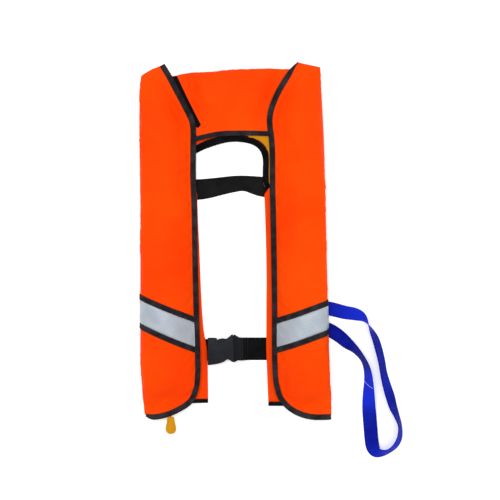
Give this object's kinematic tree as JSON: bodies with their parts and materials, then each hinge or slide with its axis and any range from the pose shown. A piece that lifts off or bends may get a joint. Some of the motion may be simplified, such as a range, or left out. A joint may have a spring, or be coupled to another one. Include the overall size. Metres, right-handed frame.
{
  "type": "inflatable life jacket",
  "caption": "Folded inflatable life jacket: two hinged front covers and a collar over a gas bladder, manual inflator, waist belt with side-release buckle, webbing straps.",
  "frame": {"origin": "middle of the jacket's footprint, without its cords, on the surface that it lies on", "axes": "+X to the viewer's right, +Y towards the collar, +Z out of the front"},
  "size_m": [0.4752, 0.7085, 0.0421],
  "materials": {
    "orange_fabric": "woven coated polyester, matt",
    "black_tape": "ribbed binding tape",
    "black_webbing": "woven webbing",
    "blue_webbing": "woven webbing",
    "reflective_silver": "retroreflective tape with a fine diagonal pattern",
    "yellow_coated_fabric": "coated fabric",
    "yellow_plastic": "moulded",
    "black_plastic": "moulded, fine grain",
    "orange_plastic": "moulded",
    "green_plastic": "moulded",
    "plated_steel": "plated",
    "brass": "turned"
  },
  "bodies": {
    "jacket": {"back_panel": "orange_fabric", "neckline_binding": "black_tape", "back_hem_left": "black_tape", "back_hem_right": "black_tape", "hook_strip_left": "black_tape", "hook_strip_right": "black_tape", "hook_strip_collar": "black_tape", "back_strap": "black_webbing", "waist_webbing_left": "black_webbing", "buckle_socket": "black_plastic", "blue_strap": "blue_webbing", "bladder": "yellow_coated_fabric", "manifold": "yellow_plastic", "manifold_nut": "brass", "inflator_body": "yellow_plastic", "lever_pin": "plated_steel", "return_spring": "plated_steel", "status_clip": "green_plastic", "cylinder_gasket": "black_plastic", "oral_tube_flange": "yellow_plastic", "oral_tube": "black_plastic", "oral_valve_housing": "black_plastic", "whistle": "orange_plastic", "whistle_keeper": "black_webbing"},
    "cover_left": {"front_cover_left": "orange_fabric", "cover_binding_left": "black_tape", "reflective_tape_left": "reflective_silver", "tape_edging_lower_left": "black_tape", "tape_edging_upper_left": "black_tape", "loop_strip_left": "black_tape"},
    "cover_right": {"front_cover_right": "orange_fabric", "cover_binding_right": "black_tape", "reflective_tape_right": "reflective_silver", "tape_edging_lower_right": "black_tape", "tape_edging_upper_right": "black_tape", "loop_strip_right": "black_tape"},
    "collar": {"collar_cover": "orange_fabric", "collar_binding": "black_tape", "collar_end_binding": "black_tape", "loop_strip_collar": "black_tape"},
    "belt_right": {"waist_webbing_right": "black_webbing", "buckle_plug": "black_plastic"},
    "prong_upper": {"buckle_prong_upper": "black_plastic"},
    "prong_lower": {"buckle_prong_lower": "black_plastic"},
    "lever": {"inflator_lever": "yellow_plastic"},
    "pull": {"pull_cord": "black_webbing", "pull_toggle": "yellow_plastic"},
    "pin": {"firing_pin": "plated_steel"},
    "cylinder": {"co2_cylinder": "plated_steel"},
    "valve": {"oral_valve": "plated_steel"},
    "dust_cap": {"oral_cap": "yellow_plastic"}
  },
  "joints": [
    {"name": "cover_left_fold", "type": "hinge", "parent": "jacket", "child": "cover_left", "pos_m": [-0.1728, 0, 0.006], "axis": [0, -1, 0], "range_deg": [0, 110]},
    {"name": "cover_right_fold", "type": "hinge", "parent": "jacket", "child": "cover_right", "pos_m": [0.1732, -0.3118, 0.006], "axis": [-0.0323, 0.9995, 0], "range_deg": [0, 90]},
    {"name": "collar_fold", "type": "hinge", "parent": "jacket", "child": "collar", "pos_m": [0, 0.311, 0.006], "axis": [-1, 0, 0], "range_deg": [0, 120]},
    {"name": "buckle_slide", "type": "slide", "parent": "jacket", "child": "belt_right", "axis": [0.9981, 0.061, 0], "range_m": [0, 0.03], "deforming": ["buckle_prong_upper", "buckle_prong_lower"]},
    {"name": "prong_upper_flex", "type": "hinge", "parent": "belt_right", "child": "prong_upper", "pos_m": [-0.00224, -0.18147, 0], "axis": [0, 0, 1], "range_deg": [0, 7], "stiffness_Nm_per_rad": 0.4},
    {"name": "prong_lower_flex", "type": "hinge", "parent": "belt_right", "child": "prong_lower", "pos_m": [-0.00077, -0.20542, 0], "axis": [0, 0, -1], "range_deg": [0, 7], "stiffness_Nm_per_rad": 0.4},
    {"name": "lever_pull", "type": "hinge", "parent": "jacket", "child": "lever", "pos_m": [-0.126, -0.242, 0.0226], "axis": [0, 0, -1], "range_deg": [0, 80]},
    {"name": "cord_pull", "type": "slide", "parent": "jacket", "child": "pull", "axis": [0, -1, 0], "range_m": [0, 0.033]},
    {"name": "pin_strike", "type": "slide", "parent": "jacket", "child": "pin", "axis": [0, 1, 0], "range_m": [0, 0.004], "deforming": ["return_spring"]},
    {"name": "cylinder_screw", "type": "hinge", "parent": "jacket", "child": "cylinder", "pos_m": [-0.134, -0.206, 0.0226], "axis": [0, -1, 0], "continuous": true},
    {"name": "oral_valve_press", "type": "slide", "parent": "jacket", "child": "valve", "axis": [0, -1, 0], "range_m": [0, 0.003], "stiffness_N_per_m": 400},
    {"name": "dust_cap_pull", "type": "slide", "parent": "jacket", "child": "dust_cap", "axis": [0, 1, 0], "range_m": [0, 0.02]}
  ],
  "couplings": [
    {"joint": "prong_lower_flex", "follows": "prong_upper_flex", "ratio": 1},
    {"joint": "cord_pull", "follows": "lever_pull", "m_per_rad": 0.02349},
    {"joint": "pin_strike", "follows": "lever_pull", "m_per_rad": 0.002858}
  ]
}
